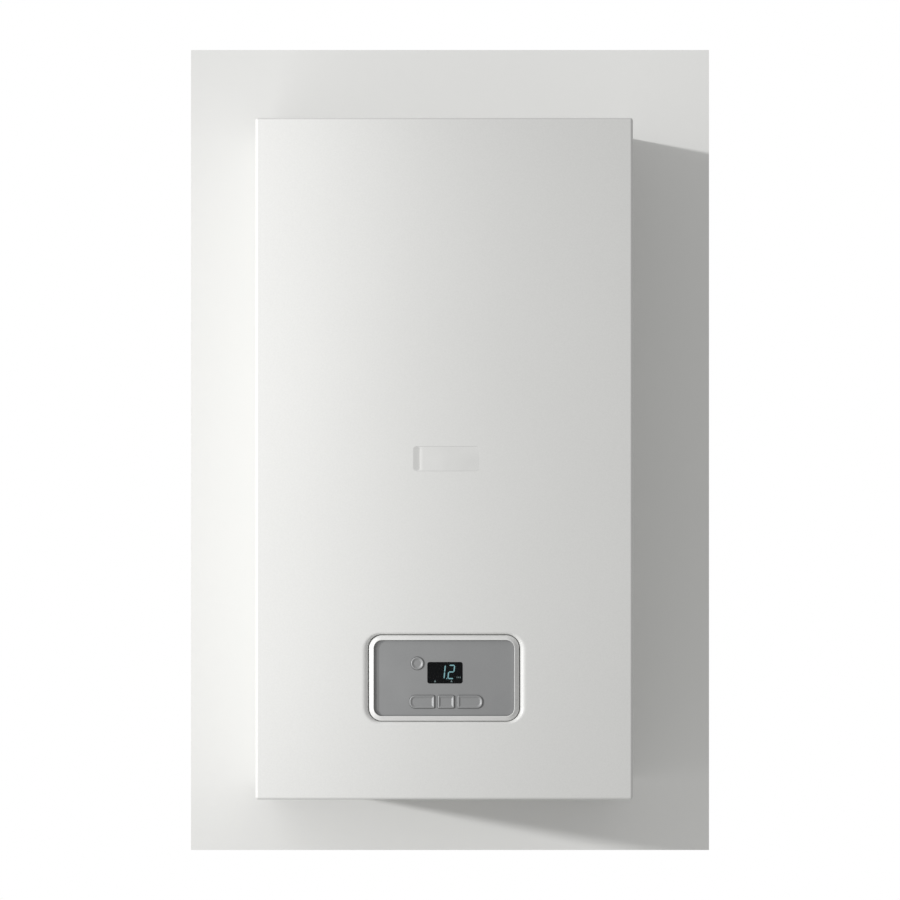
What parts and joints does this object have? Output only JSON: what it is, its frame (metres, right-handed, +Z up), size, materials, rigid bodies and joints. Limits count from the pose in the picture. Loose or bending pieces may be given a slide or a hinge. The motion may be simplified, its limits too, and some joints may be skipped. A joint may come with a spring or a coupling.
{
  "type": "wall-hung gas boiler",
  "caption": "Flat white wall-hung gas boiler with a pull-off front cover, a sunk push-button display panel, and its burner, fan, pump and pipework inside.",
  "frame": {"origin": "on the wall plane, midway between the hanging rail's two screw holes", "axes": "+Z up, +Y into the wall (the front faces -Y), +X to the right as seen from the front"},
  "size_m": [0.41, 0.3105, 0.7445],
  "materials": {
    "cover_paint": "white powder coat",
    "side_paint": "white powder coat",
    "zinc_sheet": "zinc-coated sheet",
    "badge_satin": "plain satin plate",
    "foam": "closed-cell foam",
    "screw_steel": "zinc-plated",
    "bezel_white": "glossy moulding",
    "panel_silver": "silver lacquer",
    "clear_pane": "clear",
    "display_black": "black display",
    "board_green": "circuit board",
    "housing_grey": "moulded",
    "black_plastic": "moulded",
    "chamber_sheet": "aluminised sheet",
    "fibre_board": "pressed fibre board",
    "burner_steel": "stainless",
    "manifold_aluminium": "extruded",
    "electrode_ceramic": "glazed rod",
    "exchanger_copper": "copper",
    "pipe_copper": "drawn copper",
    "block_brass": "cast",
    "fan_steel": "zinc-coated",
    "motor_steel": "laminated",
    "flue_aluminium": "cast",
    "switch_plastic": "moulded",
    "silicone": "soft tube",
    "vessel_red": "red paint",
    "pump_iron": "painted casting",
    "pump_grey": "painted can",
    "plates_steel": "brazed stainless",
    "valve_aluminium": "die-cast",
    "knob_red": "moulded",
    "knob_blue": "moulded",
    "sight_pane": "heat-proof"
  },
  "bodies": {
    "boiler": {"air_pressure_switch": "switch_plastic", "air_vent": "block_brass", "back_panel": "zinc_sheet", "burner_blades": "burner_steel", "burner_frame": "chamber_sheet", "chamber_front_plate": "chamber_sheet", "chamber_plates": "chamber_sheet", "connection_plate": "zinc_sheet", "control_box_brackets": "zinc_sheet", "control_housing": "housing_grey", "control_rear_cover": "housing_grey", "display_board": "board_green", "display_module": "display_black", "display_window": "clear_pane", "diverter_motor": "black_plastic", "expansion_vessel": "vessel_red", "fan_motor": "motor_steel", "fan_scroll": "fan_steel", "filling_tap": "block_brass", "flow_block": "block_brass", "flow_pipe": "pipe_copper", "flue_flange": "flue_aluminium", "flue_hood": "chamber_sheet", "flue_spigot": "flue_aluminium", "front_crossbar": "zinc_sheet", "gas_manifold": "manifold_aluminium", "gas_pipes": "pipe_copper", "gas_valve": "valve_aluminium", "heat_exchanger": "exchanger_copper", "ignition_electrodes": "electrode_ceramic", "insulation_boards": "fibre_board", "left_side_panel": "side_paint", "main_board": "board_green", "panel_bezel": "bezel_white", "panel_fascia": "panel_silver", "pipe_connections": "block_brass", "plate_heat_exchanger": "plates_steel", "pressure_tubes": "silicone", "pump_motor": "pump_grey", "pump_volute": "pump_iron", "return_block": "block_brass", "return_pipe": "pipe_copper", "right_side_panel": "side_paint", "safety_valve": "block_brass", "sight_glass": "sight_pane", "top_panel": "zinc_sheet", "vessel_pipe": "pipe_copper", "wall_rail": "zinc_sheet", "wall_spacers": "black_plastic"},
    "cover": {"front_cover": "cover_paint", "badge_plate": "badge_satin", "cover_gasket": "foam", "cover_screws": "screw_steel"},
    "reset_button": {"reset_button": "panel_silver"},
    "minus_button": {"minus_button": "panel_silver"},
    "mode_button": {"mode_button": "panel_silver"},
    "plus_button": {"plus_button": "panel_silver"},
    "fan_impeller": {"fan_impeller": "fan_steel"},
    "safety_valve_knob": {"safety_valve_knob": "knob_red"},
    "filling_tap_knob": {"filling_tap_knob": "knob_blue"}
  },
  "joints": [
    {"name": "cover_pull", "type": "slide", "parent": "boiler", "child": "cover", "axis": [0, -1, 0], "range_m": [0, 0.35]},
    {"name": "reset_button_press", "type": "slide", "parent": "boiler", "child": "reset_button", "axis": [0, 1, 0], "range_m": [0, 0.0012], "stiffness_N_per_m": 900},
    {"name": "minus_button_press", "type": "slide", "parent": "boiler", "child": "minus_button", "axis": [0, 1, 0], "range_m": [0, 0.0012], "stiffness_N_per_m": 900},
    {"name": "mode_button_press", "type": "slide", "parent": "boiler", "child": "mode_button", "axis": [0, 1, 0], "range_m": [0, 0.0012], "stiffness_N_per_m": 900},
    {"name": "plus_button_press", "type": "slide", "parent": "boiler", "child": "plus_button", "axis": [0, 1, 0], "range_m": [0, 0.0012], "stiffness_N_per_m": 900},
    {"name": "fan_spin", "type": "hinge", "parent": "boiler", "child": "fan_impeller", "pos_m": [0.037, -0.19406, -0.0499], "axis": [0, 1, 0], "continuous": true},
    {"name": "safety_valve_turn", "type": "hinge", "parent": "boiler", "child": "safety_valve_knob", "pos_m": [-0.1394, -0.15891, -0.612], "axis": [0, -1, 0], "range_deg": [0, 90]},
    {"name": "filling_tap_turn", "type": "hinge", "parent": "boiler", "child": "filling_tap_knob", "pos_m": [0.10455, -0.11191, -0.663], "axis": [0, 0, -1], "range_deg": [0, 90]}
  ]
}
